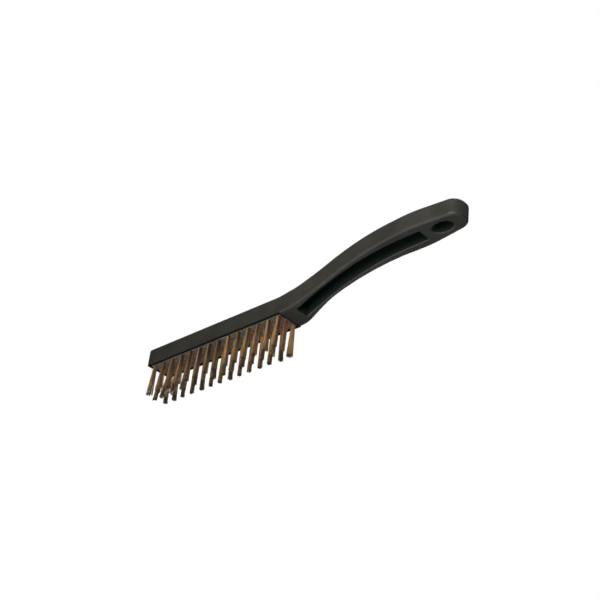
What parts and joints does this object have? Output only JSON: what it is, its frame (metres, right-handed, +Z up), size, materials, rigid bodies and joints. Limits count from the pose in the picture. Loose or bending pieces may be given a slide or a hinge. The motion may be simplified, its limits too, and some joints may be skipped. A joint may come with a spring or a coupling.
{
  "type": "wire brush",
  "caption": "Hand wire brush with a curved one-piece plastic block and handle, staple-set rows of wire tufts, and a hanging hole, for scrubbing slag, rust and scale off metal.",
  "frame": {"origin": "in the plane of the bristle tips, at the middle of the brush's length and width", "axes": "+X from the block's tip towards the end of the handle, +Z up from the bristle tips towards the back, +Y across the brush"},
  "size_m": [0.2882, 0.024, 0.0635],
  "materials": {
    "moulded_plastic": "satin, finely grained mould finish",
    "bristle_wire": "drawn wire, brass-coloured, tarnished towards the tips",
    "anchor_steel": "bright flat wire"
  },
  "bodies": {
    "root": {"block_and_handle": "moulded_plastic", "tuft_left_01": "bristle_wire", "tuft_left_02": "bristle_wire", "tuft_left_03": "bristle_wire", "tuft_left_04": "bristle_wire", "tuft_left_05": "bristle_wire", "tuft_left_06": "bristle_wire", "tuft_left_07": "bristle_wire", "tuft_left_08": "bristle_wire", "tuft_left_09": "bristle_wire", "tuft_left_10": "bristle_wire", "tuft_left_11": "bristle_wire", "tuft_left_12": "bristle_wire", "tuft_left_13": "bristle_wire", "tuft_left_14": "bristle_wire", "anchors_left": "anchor_steel", "tuft_middle_01": "bristle_wire", "tuft_middle_02": "bristle_wire", "tuft_middle_03": "bristle_wire", "tuft_middle_04": "bristle_wire", "tuft_middle_05": "bristle_wire", "tuft_middle_06": "bristle_wire", "tuft_middle_07": "bristle_wire", "tuft_middle_08": "bristle_wire", "tuft_middle_09": "bristle_wire", "tuft_middle_10": "bristle_wire", "tuft_middle_11": "bristle_wire", "tuft_middle_12": "bristle_wire", "tuft_middle_13": "bristle_wire", "tuft_middle_14": "bristle_wire", "anchors_middle": "anchor_steel", "tuft_right_01": "bristle_wire", "tuft_right_02": "bristle_wire", "tuft_right_03": "bristle_wire", "tuft_right_04": "bristle_wire", "tuft_right_05": "bristle_wire", "tuft_right_06": "bristle_wire", "tuft_right_07": "bristle_wire", "tuft_right_08": "bristle_wire", "tuft_right_09": "bristle_wire", "tuft_right_10": "bristle_wire", "tuft_right_11": "bristle_wire", "tuft_right_12": "bristle_wire", "tuft_right_13": "bristle_wire", "tuft_right_14": "bristle_wire", "anchors_right": "anchor_steel"}
  },
  "joints": []
}
